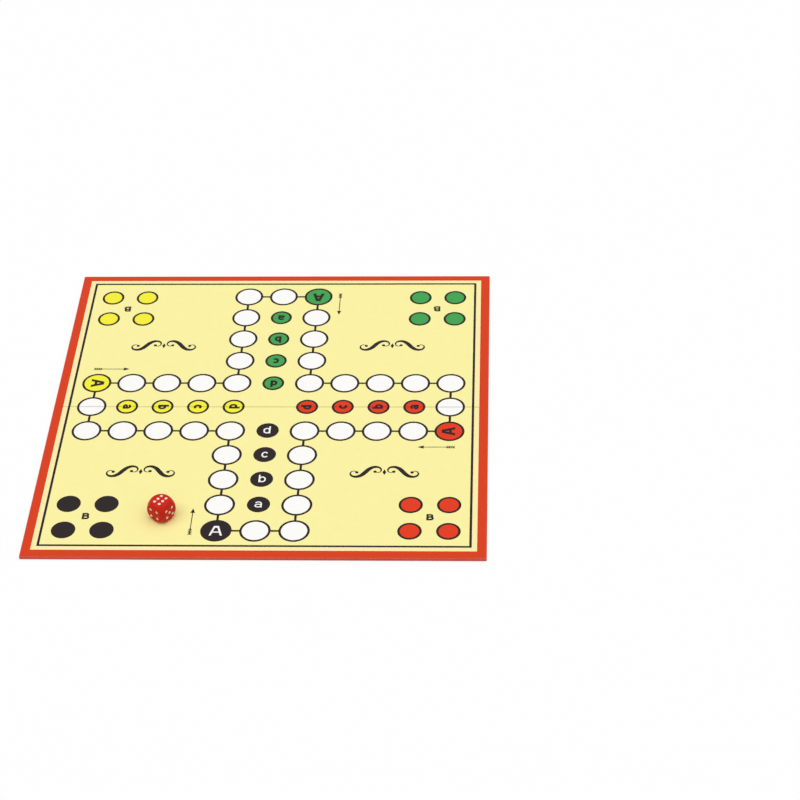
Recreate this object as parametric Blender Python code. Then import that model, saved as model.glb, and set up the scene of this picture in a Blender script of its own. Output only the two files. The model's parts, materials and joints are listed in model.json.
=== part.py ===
"""A folding ludo board with its die, built from the pieces that a board maker glues together.

Each half is a greyboard core, wrapped on three edges by the printed face sheet, whose flaps are
turned in below it, and lined by a back sheet that covers those flaps. A strip of cloth under the
face sheets joins the halves, so the board folds with its face side inwards. A rounded die with
drilled pips lies on the near half.

Frame: origin at the middle of the underside, +X to the right, +Y away from the player, +Z up.
"""

import math

import bmesh
import bpy
from mathutils import Matrix, Vector

MM = 0.001

# The board
BOARD_SIZE = 330.0 * MM
BOARD_THICKNESS = 2.8 * MM
PAPER = 0.2 * MM
GLUE = 0.05 * MM
EDGE_RADIUS = 0.5 * MM
ARC_SEGMENTS = 3

# The flaps of the face sheet that are turned in under the core
FLAP_WIDTH = 12.0 * MM
FLAP_SEAT = 0.3 * MM
MITRE_GAP = 0.4 * MM

# The back sheet, trimmed short of the board's edge
BACK_MARGIN = 2.5 * MM
BACK_CORNER = 1.5 * MM

# The fold across the middle: a crease in the face, a slit in the cores and the back
CREASE_GAP = 0.3 * MM
CREASE_WIDTH = 0.6 * MM
SLIT = 0.5 * MM
FOLD_CLEARANCE = 0.15 * MM

# The cloth strip that joins the halves
CLOTH_WIDTH = 28.0 * MM
CLOTH_THICKNESS = 0.25 * MM
CLOTH_MARGIN = 3.0 * MM

# The die, a cube cut by a sphere
DIE_EDGE = 16.0 * MM
DIE_BALL = 20.5 * MM
DIE_GAP = 0.1 * MM
DIE_PLACE = (-67.9 * MM, -122.5 * MM)
DIE_TURN = math.radians(-35.5)
DIE_FLOOR_Y = -200.0 * MM
BALL_SEGMENTS = 56

# Its pips, shallow round dimples
PIP_WIDTH = 2.4 * MM
PIP_DEPTH = 0.5 * MM
PIP_SPREAD = 2.95 * MM
SIX_COLUMN = 2.2 * MM
SIX_ROW = 3.65 * MM
PIP_SEGMENTS = 16

# Levels and distances that follow from these
HALF = BOARD_SIZE / 2
OVERCUT = 20.0 * MM
SKIN = PAPER + GLUE
FOLD_AXIS_Z = BOARD_THICKNESS + FOLD_CLEARANCE
CORE_TOP = BOARD_THICKNESS - SKIN
CORE_EDGE = HALF - SKIN
CORE_RADIUS = EDGE_RADIUS - SKIN
CLOTH_BOTTOM = CORE_TOP - CLOTH_THICKNESS
DIE_REST_Z = BOARD_THICKNESS + DIE_GAP + DIE_EDGE / 2
DIE_FLOOR_Z = DIE_EDGE / 2
DIE_AXIS = ((DIE_PLACE[1] + DIE_FLOOR_Y) / 2, (DIE_REST_Z + DIE_FLOOR_Z) / 2)

# Colours as linear red, green and blue
GREYBOARD_COLOUR = (0.36, 0.33, 0.29)
CLOTH_COLOUR = (0.72, 0.68, 0.58)
FACE_COLOUR = (0.94, 0.88, 0.38)
BACK_COLOUR = (0.94, 0.88, 0.38)
DIE_COLOUR = (0.62, 0.03, 0.02)


def clear_scene():
    """Takes every object out of the scene."""
    for obj in list(bpy.data.objects):
        bpy.data.objects.remove(obj, do_unlink=True)


def finish(name, colour, roughness):
    """A plain material with the piece's colour."""
    material = bpy.data.materials.new(name)
    material.use_nodes = True
    shader = material.node_tree.nodes["Principled BSDF"]
    shader.inputs["Base Color"].default_value = (*colour, 1.0)
    shader.inputs["Roughness"].default_value = roughness
    shader.inputs["Metallic"].default_value = 0.0
    return material


def mesh_from(shape, name):
    """Turns a bmesh into a mesh and frees it."""
    mesh = bpy.data.meshes.new(name)
    shape.to_mesh(mesh)
    shape.free()
    return mesh


def slab(low, high, radius=0.0):
    """A box between two corners, with every edge rounded where a radius is given."""
    low, high = Vector(low), Vector(high)
    shape = bmesh.new()
    bmesh.ops.create_cube(shape, size=1.0)
    bmesh.ops.scale(shape, vec=high - low, verts=shape.verts)
    bmesh.ops.translate(shape, vec=(low + high) / 2, verts=shape.verts)
    if radius:
        bmesh.ops.bevel(
            shape,
            geom=shape.edges[:],
            offset=radius,
            segments=ARC_SEGMENTS,
            profile=0.5,
            affect="EDGES",
        )
    return shape


def end_at_fold(shape, y):
    """Cuts a slab off at a plane across the board, keeps what lies beyond it and closes the cut."""
    everything = shape.verts[:] + shape.edges[:] + shape.faces[:]
    cut = bmesh.ops.bisect_plane(
        shape,
        geom=everything,
        plane_co=(0.0, y, 0.0),
        plane_no=(0.0, 1.0, 0.0),
        clear_inner=True,
    )
    rim = [item for item in cut["geom_cut"] if isinstance(item, bmesh.types.BMEdge)]
    bmesh.ops.edgeloop_fill(shape, edges=rim)
    bmesh.ops.recalc_face_normals(shape, faces=shape.faces)
    return shape


def carve(shape, tool, operation="DIFFERENCE"):
    """Cuts, joins or intersects one bmesh with another, and returns the result as a bmesh."""
    stock = bpy.data.objects.new("stock", mesh_from(shape, "stock"))
    cutter = bpy.data.objects.new("cutter", mesh_from(tool, "cutter"))
    for obj in (stock, cutter):
        bpy.context.scene.collection.objects.link(obj)
    step = stock.modifiers.new("carve", "BOOLEAN")
    step.operation = operation
    step.solver = "EXACT"
    step.object = cutter
    graph = bpy.context.evaluated_depsgraph_get()
    result = bmesh.new()
    result.from_object(stock, graph)
    for obj in (stock, cutter):
        mesh = obj.data
        bpy.data.objects.remove(obj, do_unlink=True)
        bpy.data.meshes.remove(mesh)
    return result


def core_mesh():
    """The greyboard of one half: stepped below for the turned-in flaps, and above for the cloth."""
    shape = slab(
        (-CORE_EDGE, -OVERCUT, 2 * SKIN),
        (CORE_EDGE, CORE_EDGE, CORE_TOP),
        CORE_RADIUS,
    )
    shape = end_at_fold(shape, SLIT / 2)
    inside_flaps = HALF - FLAP_WIDTH - FLAP_SEAT
    foot = slab(
        (-inside_flaps, SLIT / 2, SKIN),
        (inside_flaps, inside_flaps, CORE_TOP / 2),
    )
    shape = carve(shape, foot, "UNION")
    cloth_seat = slab(
        (-BOARD_SIZE, -OVERCUT, CLOTH_BOTTOM - GLUE),
        (BOARD_SIZE, CLOTH_WIDTH / 2 + FLAP_SEAT, BOARD_THICKNESS),
    )
    return mesh_from(carve(shape, cloth_seat), "core")


def face_sheet_mesh():
    """The printed sheet of one half, folded round three edges, with mitred flaps turned in below."""
    shape = slab((-HALF, -OVERCUT, SKIN), (HALF, HALF, BOARD_THICKNESS), EDGE_RADIUS)
    shape = end_at_fold(shape, CREASE_GAP / 2)
    within = HALF - PAPER
    inside = slab(
        (-within, -2 * OVERCUT, SKIN + PAPER),
        (within, within, BOARD_THICKNESS - PAPER),
        EDGE_RADIUS - PAPER,
    )
    shape = carve(shape, inside)
    below = -BOARD_THICKNESS
    level = BOARD_THICKNESS / 2
    window = HALF - FLAP_WIDTH
    shape = carve(shape, slab((-window, -OVERCUT, below), (window, window, level)))
    wall = HALF - EDGE_RADIUS
    for side in (-1.0, 1.0):
        shape = carve(shape, mitre_blade(side, window, wall, below, level))
    groove = slab((-HALF, -0.5, -0.5), (HALF, 0.5, 0.5))
    section = CREASE_WIDTH / math.sqrt(2.0)
    bmesh.ops.scale(groove, vec=(2.0, section, section), verts=groove.verts)
    turn = Matrix.Rotation(math.radians(45.0), 4, "X")
    bmesh.ops.transform(groove, matrix=turn, verts=groove.verts)
    bmesh.ops.translate(groove, vec=(0.0, 0.0, BOARD_THICKNESS), verts=groove.verts)
    return mesh_from(carve(shape, groove), "face_sheet")


def mitre_blade(side, inner, outer, below, level):
    """The thin upright blade that parts two flaps along the diagonal of a corner."""
    middle = (inner + outer) / 2
    reach = (outer - inner) / math.sqrt(2.0)
    blade = slab((-reach, -MITRE_GAP / 2, below), (reach, MITRE_GAP / 2, level))
    turn = Matrix.Rotation(math.radians(side * 45.0), 4, "Z")
    bmesh.ops.transform(blade, matrix=turn, verts=blade.verts)
    bmesh.ops.translate(blade, vec=(side * middle, middle, 0.0), verts=blade.verts)
    return blade


def back_sheet_mesh():
    """The lining of one half's underside, with its two outer corners rounded."""
    edge = HALF - BACK_MARGIN
    shape = slab((-edge, SLIT / 2, 0.0), (edge, edge, PAPER))
    corners = [
        line
        for line in shape.edges
        if all(abs(vert.co.y - edge) < GLUE for vert in line.verts)
        and abs(line.verts[0].co.x - line.verts[1].co.x) < GLUE
    ]
    bmesh.ops.bevel(
        shape,
        geom=corners,
        offset=BACK_CORNER,
        segments=2 * ARC_SEGMENTS,
        profile=0.5,
        affect="EDGES",
    )
    return mesh_from(shape, "back_sheet")


def cloth_mesh():
    """The strip across the fold, in the seats of both cores."""
    reach = HALF - CLOTH_MARGIN
    shape = slab(
        (-reach, -CLOTH_WIDTH / 2, CLOTH_BOTTOM),
        (reach, CLOTH_WIDTH / 2, CORE_TOP),
    )
    return mesh_from(shape, "hinge_cloth")


def pip_places(count):
    """The pips of a face, as two coordinates each: corners, a middle one, or two rows of three."""
    diagonal = [(-PIP_SPREAD, -PIP_SPREAD), (PIP_SPREAD, PIP_SPREAD)]
    other = [(-PIP_SPREAD, PIP_SPREAD), (PIP_SPREAD, -PIP_SPREAD)]
    middle = [(0.0, 0.0)]
    if count == 6:
        rows = (-SIX_ROW, 0.0, SIX_ROW)
        return [(column, row) for column in (-SIX_COLUMN, SIX_COLUMN) for row in rows]
    return {
        1: middle,
        2: diagonal,
        3: diagonal + middle,
        4: diagonal + other,
        5: diagonal + other + middle,
    }[count]


def pip_balls():
    """Every pip's cutter, a ball that dips into its face. Opposite faces add up to seven."""
    radius = ((PIP_WIDTH / 2) ** 2 + PIP_DEPTH**2) / (2 * PIP_DEPTH)
    height = DIE_EDGE / 2 + radius - PIP_DEPTH
    quarter = math.radians(90.0)
    faces = {
        6: Matrix.Identity(4),
        1: Matrix.Rotation(2 * quarter, 4, "X"),
        5: Matrix.Rotation(quarter, 4, "Y"),
        2: Matrix.Rotation(-quarter, 4, "Y"),
        4: Matrix.Rotation(quarter, 4, "X"),
        3: Matrix.Rotation(-quarter, 4, "X"),
    }
    shape = bmesh.new()
    for count, turn in faces.items():
        for across, along in pip_places(count):
            bmesh.ops.create_uvsphere(
                shape,
                u_segments=PIP_SEGMENTS,
                v_segments=PIP_SEGMENTS,
                radius=radius,
                matrix=turn @ Matrix.Translation((across, along, height)),
            )
    return shape


def die_mesh():
    """A cube cut round by a ball, with its pips drilled, about its own middle."""
    half = DIE_EDGE / 2
    ball = bmesh.new()
    bmesh.ops.create_uvsphere(
        ball,
        u_segments=BALL_SEGMENTS,
        v_segments=BALL_SEGMENTS // 2,
        radius=DIE_BALL / 2,
    )
    shape = carve(slab((-half,) * 3, (half,) * 3), ball, "INTERSECT")
    mesh = mesh_from(carve(shape, pip_balls()), "die")
    mesh.shade_smooth()
    mesh.set_sharp_from_angle(angle=math.radians(25.0))
    return mesh


def axis_empty(name, place):
    """An empty that stands on a joint's axis and carries the pieces that turn about it."""
    empty = bpy.data.objects.new(name, None)
    empty.empty_display_size = HALF / 4
    empty.location = place
    bpy.context.scene.collection.objects.link(empty)
    return empty


def piece(name, mesh, material, parent, place, turn=0.0):
    """One named piece of the board, hung from its empty and turned about the upright."""
    obj = bpy.data.objects.new(name, mesh)
    obj.parent = parent
    obj.location = Vector(place) - parent.location
    obj.rotation_euler = (0.0, 0.0, turn)
    obj.data.materials.clear()
    obj.data.materials.append(material)
    bpy.context.scene.collection.objects.link(obj)
    return obj


def build():
    """Makes the two halves, the strip that joins them and the die."""
    clear_scene()
    fold_axis = axis_empty("fold_axis", (0.0, 0.0, FOLD_AXIS_Z))
    near_side = axis_empty("near_side", (0.0, 0.0, 0.0))
    die_axis = axis_empty("die_axis", (DIE_PLACE[0], *DIE_AXIS))
    layers = {
        "core": (core_mesh(), finish("greyboard", GREYBOARD_COLOUR, 0.95)),
        "face_sheet": (face_sheet_mesh(), finish("face_paper", FACE_COLOUR, 0.45)),
        "back_sheet": (back_sheet_mesh(), finish("back_paper", BACK_COLOUR, 0.45)),
    }
    origin = (0.0, 0.0, 0.0)
    for layer, (mesh, material) in layers.items():
        piece(f"rear_{layer}", mesh, material, fold_axis, origin)
        piece(f"front_{layer}", mesh, material, near_side, origin, math.pi)
    linen = finish("linen", CLOTH_COLOUR, 0.9)
    piece("hinge_cloth", cloth_mesh(), linen, near_side, origin)
    plastic = finish("die_plastic", DIE_COLOUR, 0.25)
    piece("die", die_mesh(), plastic, die_axis, (*DIE_PLACE, DIE_REST_Z), DIE_TURN)


build()
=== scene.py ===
"""Dresses the folding ludo board: the printed sheets of both sides, the cloth that joins its
halves, the greyboard inside them and the die that lies on it.

Every length is in metres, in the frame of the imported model: origin at the middle of the underside,
+X to the player's right along the fold, +Y away from the player and +Z up.
"""

from __future__ import annotations

import json
import logging
import math
from abc import ABC, abstractmethod
from contextlib import contextmanager
from dataclasses import dataclass, field, replace
from enum import Enum
from functools import lru_cache
from itertools import product
from typing import Any, Iterable, Iterator, Protocol, Sequence, Union

import bmesh
import bpy
import numpy as np
from mathutils import Matrix, Vector

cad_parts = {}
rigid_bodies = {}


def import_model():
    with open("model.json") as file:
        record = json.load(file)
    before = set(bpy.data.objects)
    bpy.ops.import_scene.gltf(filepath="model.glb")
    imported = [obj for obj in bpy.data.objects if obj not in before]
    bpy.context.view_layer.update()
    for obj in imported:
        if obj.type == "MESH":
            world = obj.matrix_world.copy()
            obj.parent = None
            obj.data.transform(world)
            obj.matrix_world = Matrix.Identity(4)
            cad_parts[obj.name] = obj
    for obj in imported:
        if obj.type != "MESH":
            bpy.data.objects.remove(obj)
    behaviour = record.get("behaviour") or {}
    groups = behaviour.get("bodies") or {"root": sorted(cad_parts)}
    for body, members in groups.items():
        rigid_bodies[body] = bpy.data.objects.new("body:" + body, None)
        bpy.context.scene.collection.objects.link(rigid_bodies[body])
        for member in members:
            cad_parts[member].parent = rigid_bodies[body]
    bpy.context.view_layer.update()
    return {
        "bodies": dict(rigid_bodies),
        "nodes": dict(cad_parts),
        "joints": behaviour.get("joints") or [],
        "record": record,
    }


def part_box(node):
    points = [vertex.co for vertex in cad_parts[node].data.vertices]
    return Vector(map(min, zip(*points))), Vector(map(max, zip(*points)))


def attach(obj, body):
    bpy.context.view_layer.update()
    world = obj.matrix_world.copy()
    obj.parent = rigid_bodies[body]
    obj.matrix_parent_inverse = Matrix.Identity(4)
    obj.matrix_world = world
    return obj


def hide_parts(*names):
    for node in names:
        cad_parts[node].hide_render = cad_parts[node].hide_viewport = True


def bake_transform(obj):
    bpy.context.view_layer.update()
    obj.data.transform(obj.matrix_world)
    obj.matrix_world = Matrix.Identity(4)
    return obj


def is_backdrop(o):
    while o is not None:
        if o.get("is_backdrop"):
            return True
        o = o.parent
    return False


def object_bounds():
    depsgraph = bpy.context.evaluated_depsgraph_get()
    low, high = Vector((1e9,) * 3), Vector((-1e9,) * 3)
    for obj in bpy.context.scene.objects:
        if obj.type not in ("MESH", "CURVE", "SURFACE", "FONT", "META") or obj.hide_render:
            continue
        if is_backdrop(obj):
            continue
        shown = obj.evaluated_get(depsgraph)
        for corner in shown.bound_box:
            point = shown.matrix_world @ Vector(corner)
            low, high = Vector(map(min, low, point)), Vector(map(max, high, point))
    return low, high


LOG = logging.getLogger("ludo_board")
MM = 0.001
WELD = 1e-6
QUARTER = math.pi / 2
NEAR, FAR, DIE_BODY = "near_half", "far_half", "die"

Array = np.ndarray
Colour = tuple[float, float, float]
Levels = tuple[float, float]

WHITE: Colour = (1.0, 1.0, 1.0)


def srgb(red: int, green: int, blue: int) -> Colour:
    """Turns a colour on the usual scale of 0 to 255 into linear light.

    Args:
        red: Red share.
        green: Green share.
        blue: Blue share.

    Returns:
        The same colour as three linear numbers from 0 to 1.
    """
    share = np.array((red, green, blue)) / 255.0
    linear = np.where(share <= 0.04045, share / 12.92, ((share + 0.055) / 1.055) ** 2.4)
    return tuple(float(value) for value in linear)


def shaded(colour: Colour, level: float) -> Colour:
    """A colour made darker or lighter by a factor."""
    return tuple(min(1.0, level * value) for value in colour)


def opaque(colour: Any) -> Any:
    """Gives a plain colour its fourth number, and leaves a socket as it is."""
    return colour if isinstance(colour, Socket) else (*colour, 1.0)


# Shaders


SEEN_RAYS = ("Is Camera Ray", "Is Glossy Ray", "Is Transmission Ray")

# A Mix node's sockets for colours, by their numbers
MIX_SHARE, MIX_FIRST, MIX_SECOND, MIX_RESULT = 0, 6, 7, 2


class Socket:
    """A node's output. Sums, differences, products and quotients of it add Math nodes."""

    def __init__(self, nodes: Nodes, output: bpy.types.NodeSocket) -> None:
        """Keeps the nodes that the output belongs to."""
        self.nodes = nodes
        self.output = output

    def _math(self, operation: str, left: Value, right: Value = 0.0) -> Socket:
        """Adds a Math node for one value or two."""
        return self.nodes.node("ShaderNodeMath", {"operation": operation}, {0: left, 1: right})

    def __add__(self, other: Value) -> Socket:
        """The sum."""
        return self._math("ADD", self, other)

    def __radd__(self, other: Value) -> Socket:
        """The sum, with the number first."""
        return self._math("ADD", other, self)

    def __rsub__(self, other: Value) -> Socket:
        """The difference, with the number first."""
        return self._math("SUBTRACT", other, self)

    def __mul__(self, other: Value) -> Socket:
        """The product."""
        return self._math("MULTIPLY", self, other)

    def __rmul__(self, other: Value) -> Socket:
        """The product, with the number first."""
        return self._math("MULTIPLY", other, self)

    def __truediv__(self, other: Value) -> Socket:
        """The quotient."""
        return self._math("DIVIDE", self, other)

    def __abs__(self) -> Socket:
        """The size without its sign."""
        return self._math("ABSOLUTE", self)

    def sine(self) -> Socket:
        """The sine of an angle in radians."""
        return self._math("SINE", self)

    def above(self, level: float) -> Socket:
        """One where the value is over the level, and nought elsewhere."""
        return self._math("GREATER_THAN", self, level)

    def clamped(self) -> Socket:
        """The value held between nought and one."""
        return self.nodes.node("ShaderNodeClamp", {}, {0: self})


Value = Union[Socket, float]


class Nodes:
    """A node tree that is filled in step by step."""

    def __init__(self, tree: bpy.types.NodeTree) -> None:
        """Keeps the tree."""
        self.tree = tree

    def node(
        self,
        kind: str,
        settings: dict[str, Any] | None = None,
        inputs: dict[str | int, Any] | None = None,
        out: str | int = 0,
    ) -> Socket:
        """Adds a node.

        Args:
            kind: The node's type.
            settings: Its own settings, set first.
            inputs: A number, colour or link for each input that is used.
            out: Which of its outputs is wanted.

        Returns:
            That output.
        """
        made = self.tree.nodes.new(kind)
        for name, value in (settings or {}).items():
            setattr(made, name, value)
        self.fill(made, inputs or {})
        return Socket(self, made.outputs[out])

    def fill(self, node: bpy.types.Node, inputs: dict[str | int, Any]) -> None:
        """Sets or links the inputs of a node.

        Args:
            node: The node.
            inputs: A number, colour or link for each input that is used.
        """
        for key, value in inputs.items():
            if isinstance(value, Socket):
                self.tree.links.new(value.output, node.inputs[key])
            else:
                node.inputs[key].default_value = value

    def place(self) -> Socket:
        """The point on the piece, in metres."""
        return self.node("ShaderNodeTexCoord", out="Object")

    def along(self, place: Socket, axis: str) -> Socket:
        """One coordinate of a point."""
        return self.node("ShaderNodeSeparateXYZ", inputs={0: place}, out=axis)

    def toward(self, ray: Socket, way: Sequence[float]) -> Socket:
        """How far a ray points one way, from nought when across or away to one."""
        settings, inputs = {"operation": "DOT_PRODUCT"}, {0: ray, 1: tuple(way)}
        return self.node("ShaderNodeVectorMath", settings, inputs, out="Value").clamped()

    def stretched(self, place: Socket, scale: Sequence[float]) -> Socket:
        """The point with each coordinate scaled."""
        return self.node("ShaderNodeMapping", inputs={"Vector": place, "Scale": tuple(scale)})

    def noise(self, place: Socket, grain: float, detail: float = 2.0) -> Socket:
        """Cloudy noise from 0 to 1, with clouds of one size and a number of finer octaves."""
        inputs = {"Vector": place, "Scale": 1.0 / grain, "Detail": detail}
        return self.node("ShaderNodeTexNoise", inputs=inputs)

    def mix(self, share: Value, first: Any, second: Any) -> Socket:
        """A colour between two, by a share from 0 to 1."""
        inputs = {MIX_SHARE: share, MIX_FIRST: opaque(first), MIX_SECOND: opaque(second)}
        return self.node("ShaderNodeMix", {"data_type": "RGBA"}, inputs, out=MIX_RESULT)

    def shades(self, share: Socket, colour: Colour, levels: Levels) -> Socket:
        """A colour that varies between a darker and a lighter level of itself."""
        low, high = levels
        return self.mix(share, shaded(colour, low), shaded(colour, high))

    def tinted(self, under: Socket, where: Socket, colour: Colour, tint: Tint) -> Socket:
        """A colour with a tint of the finish's own colour laid over it where a map says."""
        return self.mix(tint.share * where, under, shaded(colour, tint.level))

    def bump(self, height: Socket, depth: float, strength: float) -> Socket:
        """A normal for heights from 0 to 1, of which 1 is the depth, shown at some strength."""
        inputs = {"Height": height, "Distance": depth, "Strength": strength}
        return self.node("ShaderNodeBump", inputs=inputs)

    def seen(self) -> Socket:
        """One for a ray from the camera or from a mirror, and nought for light on the object."""
        camera, mirror, glass = (self.node("ShaderNodeLightPath", out=kind) for kind in SEEN_RAYS)
        return (camera + mirror + glass).clamped()


class Shader(Nodes):
    """One material's nodes, built on its Principled shader."""

    def __init__(self, name: str) -> None:
        """Makes the material and keeps its shader node.

        Args:
            name: The material's name.
        """
        self.material = bpy.data.materials.new(name)
        self.material.use_nodes = True
        super().__init__(self.material.node_tree)
        self.principled = self.tree.nodes["Principled BSDF"]


# Finishes


class Finish(Protocol):
    """Anything that can make a material."""

    def material(self) -> bpy.types.Material:
        """Makes the material."""


@lru_cache(maxsize=None)
def worn(finish: Finish) -> bpy.types.Material:
    """The material of a finish, made once."""
    return finish.material()


@dataclass(frozen=True)
class Tint:
    """A level of a finish's own colour that is laid over it, and how much of it shows."""

    level: float
    share: float


@dataclass(frozen=True)
class Surface:
    """How smooth a finish is: its span of roughness, its relief and its share of mirrored light."""

    rough: Levels
    depth: float
    strength: float
    specular: float = 0.5

    def dress(
        self, shader: Shader, colour: Socket, patches: Socket, relief: Socket
    ) -> bpy.types.Material:
        """Fills in a material's shader.

        Args:
            shader: The shader.
            colour: The colour, as it varies.
            patches: Where the surface is rougher, from 0 to 1.
            relief: Its heights, from 0 to 1.

        Returns:
            The material.
        """
        low, high = self.rough
        inputs = {
            "Base Color": colour,
            "Roughness": low + (high - low) * patches,
            "Normal": shader.bump(relief, self.depth, self.strength),
            "Specular IOR Level": self.specular,
        }
        shader.fill(shader.principled, inputs)
        return shader.material


VARNISH = Surface(rough=(0.4, 0.52), depth=0.02 * MM, strength=0.25, specular=0.1)


@dataclass(frozen=True)
class PrintFinish:
    """Ink on coated paper under a thin satin varnish, with painted shade along the crease of the fold."""

    name: str
    colour: Colour
    surface: Surface = VARNISH
    mottle: float = 5.0 * MM
    mottle_levels: Levels = (0.98, 1.02)
    fibre: float = 0.35 * MM
    # Half the width of the painted crease shade, then its level and how much of it shows
    crease_shade_half: float = 0.9 * MM
    crease_shade_tint: Tint = Tint(level=0.3, share=0.55)

    def material(self) -> bpy.types.Material:
        """Mottled ink, a line of painted shade along the fold's crease and the paper's fibres in the
        varnish.

        Returns:
            The material.
        """
        shader = Shader(self.name)
        place = shader.place()
        cloud = shader.noise(place, self.mottle, detail=3.0)
        fibre = shader.noise(place, self.fibre)
        ink = shader.shades(cloud, self.colour, self.mottle_levels)
        # Painted shade: the colour darkens towards the crease, where the groove's shadow falls
        fold = (1.0 - abs(shader.along(place, "Y")) / self.crease_shade_half).clamped()
        ink = shader.tinted(ink, fold, self.colour, self.crease_shade_tint)
        return self.surface.dress(shader, ink, cloud, fibre)


@dataclass(frozen=True)
class GreyboardFinish:
    """Grey pressed pulp: layered at the cut edges, flecked with darker and paler fibres."""

    name: str = "greyboard"
    colour: Colour = srgb(158, 149, 136)
    surface: Surface = Surface(rough=(0.86, 0.98), depth=0.08 * MM, strength=0.5, specular=0.2)
    cloud: float = 6.0 * MM
    cloud_levels: Levels = (0.82, 1.12)
    layer: float = 0.25 * MM
    layer_scale: tuple[float, float, float] = (0.12, 0.12, 1.0)
    layer_tint: Tint = Tint(level=0.6, share=0.45)
    fleck: float = 0.9 * MM
    fleck_from: float = 0.66
    dark_fleck: Tint = Tint(level=0.45, share=0.6)
    pale_fleck: Tint = Tint(level=1.5, share=0.5)

    def material(self) -> bpy.types.Material:
        """Flecks, long flat clouds that read as layers, and a felted surface.

        Returns:
            The material.
        """
        shader = Shader(self.name)
        place = shader.place()
        cloud = shader.noise(place, self.cloud, detail=4.0)
        fleck = shader.noise(place, self.fleck, detail=3.0)
        layer = shader.noise(shader.stretched(place, self.layer_scale), self.layer)
        pulp = shader.shades(cloud, self.colour, self.cloud_levels)
        pulp = shader.tinted(pulp, layer, self.colour, self.layer_tint)
        pulp = shader.tinted(pulp, fleck.above(self.fleck_from), self.colour, self.dark_fleck)
        pulp = shader.tinted(pulp, (1.0 - fleck).above(self.fleck_from), self.colour, self.pale_fleck)
        return self.surface.dress(shader, pulp, cloud, fleck + layer)


@dataclass(frozen=True)
class LinenFinish:
    """Plain woven book cloth: two sets of threads that cross over and under."""

    name: str = "hinge_linen"
    colour: Colour = srgb(222, 213, 192)
    surface: Surface = Surface(rough=(0.8, 0.95), depth=0.1 * MM, strength=0.7, specular=0.2)
    thread: float = 0.45 * MM
    thread_levels: Levels = (0.62, 1.0)
    slub: float = 0.8 * MM
    slub_scale: tuple[float, float, float] = (0.1, 1.0, 1.0)
    slub_tint: Tint = Tint(level=0.8, share=0.3)

    def material(self) -> bpy.types.Material:
        """Threads along X and Y as sine ridges, with slubs and a fuzzy surface.

        Returns:
            The material.
        """
        shader = Shader(self.name)
        place = shader.place()
        slub = shader.noise(shader.stretched(place, self.slub_scale), self.slub)
        weave = 0.5 * self._ridges(shader, place, "X") + 0.5 * self._ridges(shader, place, "Y")
        thread = shader.shades(weave, self.colour, self.thread_levels)
        thread = shader.tinted(thread, slub, self.colour, self.slub_tint)
        return self.surface.dress(shader, thread, slub, weave)

    def _ridges(self, shader: Shader, place: Socket, axis: str) -> Socket:
        """One set of threads: the square of a sine across them."""
        wave = (shader.along(place, axis) * (math.pi / self.thread)).sine()
        return wave * wave


@dataclass(frozen=True)
class DiePlasticFinish:
    """Moulded and tumbled red plastic with a soft polish and fine handling marks."""

    name: str = "die_plastic"
    colour: Colour = srgb(204, 36, 20)
    surface: Surface = Surface(rough=(0.2, 0.36), depth=0.01 * MM, strength=0.2, specular=0.08)
    cloud: float = 5.0 * MM
    cloud_levels: Levels = (0.9, 1.06)
    scuff: float = 0.6 * MM
    coat: float = 0.03
    coat_roughness: float = 0.1

    def material(self) -> bpy.types.Material:
        """A slightly cloudy red, with a polish that varies and a faint orange peel.

        Returns:
            The material.
        """
        shader = Shader(self.name)
        place = shader.place()
        cloud = shader.noise(place, self.cloud, detail=3.0)
        scuff = shader.noise(place, self.scuff, detail=4.0)
        coat = {"Coat Weight": self.coat, "Coat Roughness": self.coat_roughness}
        shader.fill(shader.principled, coat)
        plastic = shader.shades(cloud, self.colour, self.cloud_levels)
        return self.surface.dress(shader, plastic, scuff, scuff)


@dataclass(frozen=True)
class PipPaintFinish:
    """White paint that fills a drilled pip, brushed on unevenly."""

    name: str = "pip_paint"
    colour: Colour = srgb(250, 222, 208)
    surface: Surface = Surface(rough=(0.45, 0.65), depth=0.02 * MM, strength=0.3)
    patch: float = 0.7 * MM
    patch_levels: Levels = (0.9, 1.0)

    def material(self) -> bpy.types.Material:
        """Matt paint with brushed patches.

        Returns:
            The material.
        """
        shader = Shader(self.name)
        patch = shader.noise(shader.place(), self.patch, detail=3.0)
        paint = shader.shades(patch, self.colour, self.patch_levels)
        return self.surface.dress(shader, paint, patch, patch)


@dataclass(frozen=True)
class FloorFinish:
    """The pale matt floor that the board lies on."""

    name: str = "studio_floor"
    colour: Colour = (0.97, 0.97, 0.97)
    roughness: float = 0.9
    glow: float = 0.8

    def material(self) -> bpy.types.Material:
        """Matt white, which looks paler than it lights and keeps a soft shadow.

        Returns:
            The material.
        """
        shader = Shader(self.name)
        matt = {"Base Color": opaque(self.colour), "Roughness": self.roughness, "Specular IOR Level": 0.0}
        shader.fill(shader.principled, matt)
        plain = Socket(shader, shader.principled.outputs[0])
        white = shader.node("ShaderNodeEmission", inputs={"Color": opaque(WHITE)})
        share = shader.seen() * self.glow
        mixed = shader.node("ShaderNodeMixShader", inputs={0: share, 1: plain, 2: white})
        shader.fill(shader.tree.nodes["Material Output"], {"Surface": mixed})
        return shader.material


class Ink(Enum):
    """The printing inks of both sides."""

    BLACK = PrintFinish("ink_black", srgb(42, 33, 33))
    WHITE = PrintFinish("ink_white", srgb(252, 251, 248))
    YELLOW = PrintFinish("ink_yellow", srgb(246, 239, 61))
    GREEN = PrintFinish("ink_green", srgb(67, 163, 83))
    RED = PrintFinish("ink_red", srgb(227, 61, 33))
    BLUE = PrintFinish("ink_blue", srgb(66, 133, 188))
    PURPLE = PrintFinish("ink_purple", srgb(181, 97, 160))


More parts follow.
